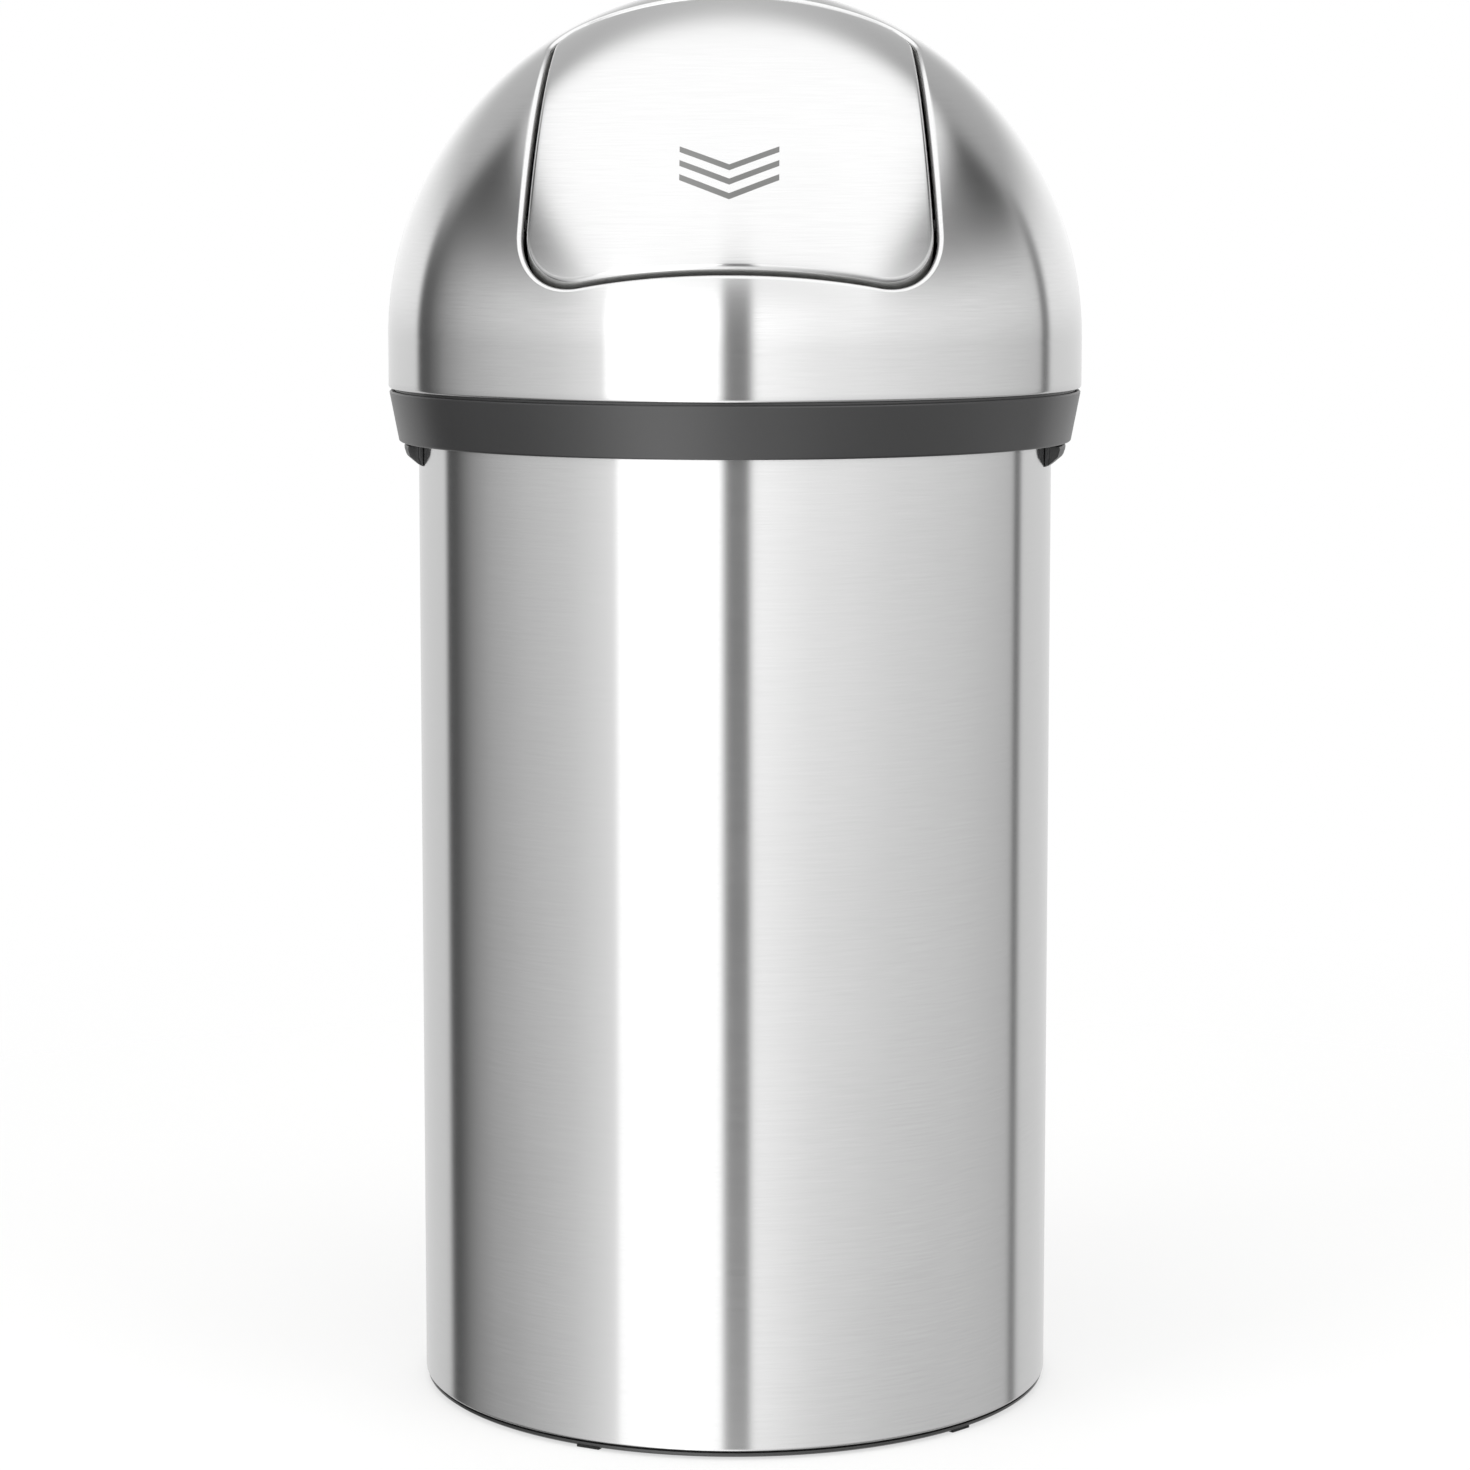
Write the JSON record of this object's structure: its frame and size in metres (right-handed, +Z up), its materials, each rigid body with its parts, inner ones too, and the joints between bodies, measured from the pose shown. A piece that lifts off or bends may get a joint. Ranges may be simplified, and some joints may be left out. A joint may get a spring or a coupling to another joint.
{
  "type": "push-flap waste bin",
  "caption": "Tall round steel waste bin with a lift-off dome lid, a sprung push flap in the dome's front, a plastic collar, side grips and a bag ring.",
  "frame": {"origin": "floor point on the bin's vertical axis", "axes": "+Z up along the bin's axis, the flap faces -Y, +X to the right as seen from the front"},
  "size_m": [0.3748, 0.3748, 0.76],
  "materials": {
    "brushed_steel_sheet": "fine horizontal brushing, satin",
    "galvanised_sheet": "galvanised, dull",
    "grey_plastic": "moulded dark grey, fine satin",
    "light_grey_plastic": "moulded light grey, fine satin",
    "black_plastic": "moulded black, satin",
    "black_rubber": "matt",
    "zinc_plated_steel": "bright zinc plated",
    "ground_steel": "ground and polished",
    "spring_steel": "drawn wire",
    "natural_acetal": "moulded, natural white"
  },
  "bodies": {
    "bin": {"body_tube": "brushed_steel_sheet", "floor_pan": "galvanised_sheet", "base_ring": "grey_plastic", "base_feet": "black_rubber", "rim_trim": "black_plastic", "grip_left": "black_plastic", "grip_right": "black_plastic", "grip_backing_left": "galvanised_sheet", "grip_backing_right": "galvanised_sheet", "grip_screws": "zinc_plated_steel"},
    "liner": {"liner_ring": "black_plastic"},
    "dome": {"dome_shell": "brushed_steel_sheet", "collar_ring": "grey_plastic", "opening_frame": "light_grey_plastic", "flap_buffers": "black_rubber", "hinge_pin_left": "ground_steel", "hinge_pin_right": "ground_steel", "pin_clips": "zinc_plated_steel", "spring_left": "spring_steel", "spring_right": "spring_steel"},
    "flap": {"flap_skin": "brushed_steel_sheet", "flap_carrier": "black_plastic", "flap_studs": "zinc_plated_steel", "flap_nuts": "zinc_plated_steel", "hinge_bush_left": "natural_acetal", "hinge_bush_right": "natural_acetal"}
  },
  "joints": [
    {"name": "dome_lift", "type": "slide", "parent": "bin", "child": "dome", "axis": [0, 0, 1], "range_m": [0, 0.2]},
    {"name": "liner_lift", "type": "slide", "parent": "bin", "child": "liner", "axis": [0, 0, 1], "range_m": [0, 0.045]},
    {"name": "flap_push", "type": "hinge", "parent": "dome", "child": "flap", "pos_m": [0, -0.04364, 0.70609], "axis": [1, 0, 0], "range_deg": [0, 60], "stiffness_Nm_per_rad": 0.4, "springref_deg": -100.27, "deforming": ["spring_left", "spring_right"]}
  ]
}
